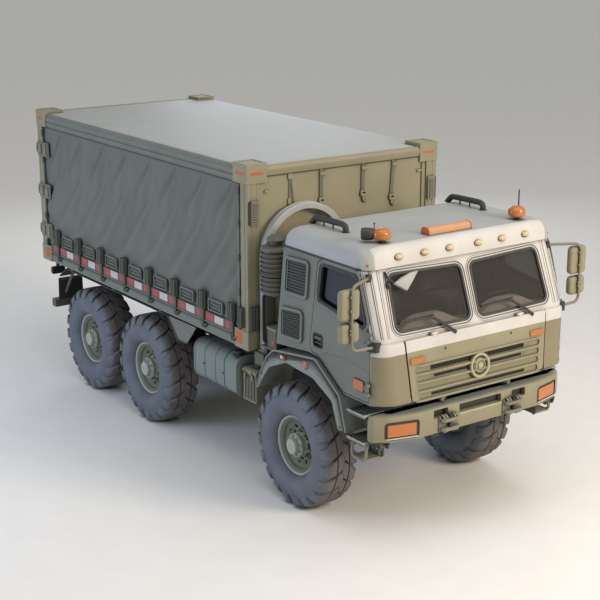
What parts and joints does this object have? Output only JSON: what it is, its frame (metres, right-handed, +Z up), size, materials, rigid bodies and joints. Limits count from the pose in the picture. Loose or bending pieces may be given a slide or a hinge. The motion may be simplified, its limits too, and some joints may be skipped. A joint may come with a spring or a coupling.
{
  "type": "military cargo truck",
  "caption": "Unarmed military cab-over cargo truck with a curtain-sided box body, tilting cab, steered front wheels and opening doors.",
  "frame": {"origin": "on the ground under the middle of the truck's overall box", "axes": "+Z up, the truck faces -Y, +X is its left side"},
  "size_m": [3.06, 7.132, 3.4046],
  "materials": {
    "body_paint": "matt olive-khaki paint",
    "light_paint": "pale grey-khaki paint",
    "chassis_paint": "dark olive chassis paint",
    "rim_paint": "olive rim paint",
    "tank_paint": "blue-grey paint",
    "tyre_rubber": "dusty black rubber",
    "window_glass": "tinted safety glass",
    "curtain_fabric": "coated tarpaulin",
    "seat_fabric": "dark woven cloth",
    "cab_plastic": "grained plastic",
    "black_plastic": "black plastic",
    "orange_lens": "orange lens",
    "red_lens": "red lens and dark housing",
    "steel": "machined steel",
    "cast_paint": "painted casting"
  },
  "bodies": {
    "chassis": {"frame_rails": "chassis_paint", "cross_members": "chassis_paint", "frame_brackets": "chassis_paint", "front_bumper": "body_paint", "headlamps": "orange_lens", "front_axle": "cast_paint", "rear_axles": "cast_paint", "leaf_springs": "chassis_paint", "powertrain": "cast_paint", "cab_steps": "chassis_paint", "front_fenders": "body_paint", "fuel_tank": "tank_paint", "battery_box": "tank_paint", "air_tanks": "chassis_paint", "silencer": "chassis_paint", "rear_mudguards": "black_plastic", "underrun_guard": "body_paint", "tail_lamps": "red_lens", "rear_hoop": "light_paint", "air_cleaner": "black_plastic", "container_posts": "body_paint", "container_side_rails": "body_paint", "container_floor": "chassis_paint", "floor_bearers": "chassis_paint", "container_roof": "light_paint", "container_front_wall": "body_paint", "side_curtains": "curtain_fabric", "curtain_buckles": "steel"},
    "cab": {"cab_shell": "body_paint", "cab_roof": "light_paint", "windscreen": "window_glass", "dashboard": "cab_plastic", "steering_wheel": "black_plastic", "seats": "seat_fabric", "mirrors": "body_paint", "roof_lamps": "orange_lens", "grab_handles": "black_plastic"},
    "cab_door_left": {"door_left": "body_paint", "door_glass_left": "window_glass"},
    "cab_door_right": {"door_right": "body_paint", "door_glass_right": "window_glass"},
    "grille_flap": {"front_flap": "body_paint"},
    "rear_leaf_left": {"rear_door_left": "body_paint"},
    "rear_leaf_right": {"rear_door_right": "body_paint"},
    "steer_left": {"knuckle_left": "cast_paint"},
    "steer_right": {"knuckle_right": "cast_paint"},
    "track_rod": {"tie_rod": "steel"},
    "wheel_front_left": {"tyre_front_left": "tyre_rubber", "rim_front_left": "rim_paint"},
    "wheel_front_right": {"tyre_front_right": "tyre_rubber", "rim_front_right": "rim_paint"},
    "wheel_middle_left": {"tyre_middle_left": "tyre_rubber", "rim_middle_left": "rim_paint"},
    "wheel_middle_right": {"tyre_middle_right": "tyre_rubber", "rim_middle_right": "rim_paint"},
    "wheel_rear_left": {"tyre_rear_left": "tyre_rubber", "rim_rear_left": "rim_paint"},
    "wheel_rear_right": {"tyre_rear_right": "tyre_rubber", "rim_rear_right": "rim_paint"}
  },
  "joints": [
    {"name": "steering_left", "type": "hinge", "parent": "chassis", "child": "steer_left", "pos_m": [0.88, -2.066, 0.64], "axis": [0, 0, 1], "range_deg": [-28, 28]},
    {"name": "steering_right", "type": "hinge", "parent": "chassis", "child": "steer_right", "pos_m": [-0.88, -2.066, 0.64], "axis": [0, 0, 1], "range_deg": [-28, 28]},
    {"name": "track_rod_swing", "type": "hinge", "parent": "steer_left", "child": "track_rod", "pos_m": [0.88, -1.866, 0.54], "axis": [0, 0, 1], "range_deg": [-28, 28]},
    {"name": "wheel_front_left_spin", "type": "hinge", "parent": "steer_left", "child": "wheel_front_left", "pos_m": [1.035, -2.066, 0.64], "axis": [1, 0, 0], "continuous": true},
    {"name": "wheel_front_right_spin", "type": "hinge", "parent": "steer_right", "child": "wheel_front_right", "pos_m": [-1.035, -2.066, 0.64], "axis": [1, 0, 0], "continuous": true},
    {"name": "wheel_middle_left_spin", "type": "hinge", "parent": "chassis", "child": "wheel_middle_left", "pos_m": [1.035, 0.937, 0.64], "axis": [1, 0, 0], "continuous": true},
    {"name": "wheel_middle_right_spin", "type": "hinge", "parent": "chassis", "child": "wheel_middle_right", "pos_m": [-1.035, 0.937, 0.64], "axis": [1, 0, 0], "continuous": true},
    {"name": "wheel_rear_left_spin", "type": "hinge", "parent": "chassis", "child": "wheel_rear_left", "pos_m": [1.035, 2.362, 0.64], "axis": [1, 0, 0], "continuous": true},
    {"name": "wheel_rear_right_spin", "type": "hinge", "parent": "chassis", "child": "wheel_rear_right", "pos_m": [-1.035, 2.362, 0.64], "axis": [1, 0, 0], "continuous": true},
    {"name": "cab_tilt", "type": "hinge", "parent": "chassis", "child": "cab", "pos_m": [0, -3.404, 1.4], "axis": [1, 0, 0], "range_deg": [0, 42]},
    {"name": "cab_door_left_swing", "type": "hinge", "parent": "cab", "child": "cab_door_left", "pos_m": [1.225, -3.295, 1.8], "axis": [0, 0, -1], "range_deg": [0, 70]},
    {"name": "cab_door_right_swing", "type": "hinge", "parent": "cab", "child": "cab_door_right", "pos_m": [-1.225, -3.295, 1.8], "axis": [0, 0, 1], "range_deg": [0, 70]},
    {"name": "grille_flap_lift", "type": "hinge", "parent": "cab", "child": "grille_flap", "pos_m": [0, -3.43, 2.058], "axis": [-1, 0, 0], "range_deg": [0, 80]},
    {"name": "rear_door_left_swing", "type": "hinge", "parent": "chassis", "child": "rear_leaf_left", "pos_m": [1.238, 3.549, 2.4], "axis": [0, 0, -1], "range_deg": [0, 240]},
    {"name": "rear_door_right_swing", "type": "hinge", "parent": "chassis", "child": "rear_leaf_right", "pos_m": [-1.238, 3.549, 2.4], "axis": [0, 0, 1], "range_deg": [0, 240]}
  ],
  "couplings": [
    {"joint": "steering_right", "follows": "steering_left", "ratio": 1},
    {"joint": "track_rod_swing", "follows": "steering_left", "ratio": -1}
  ]
}
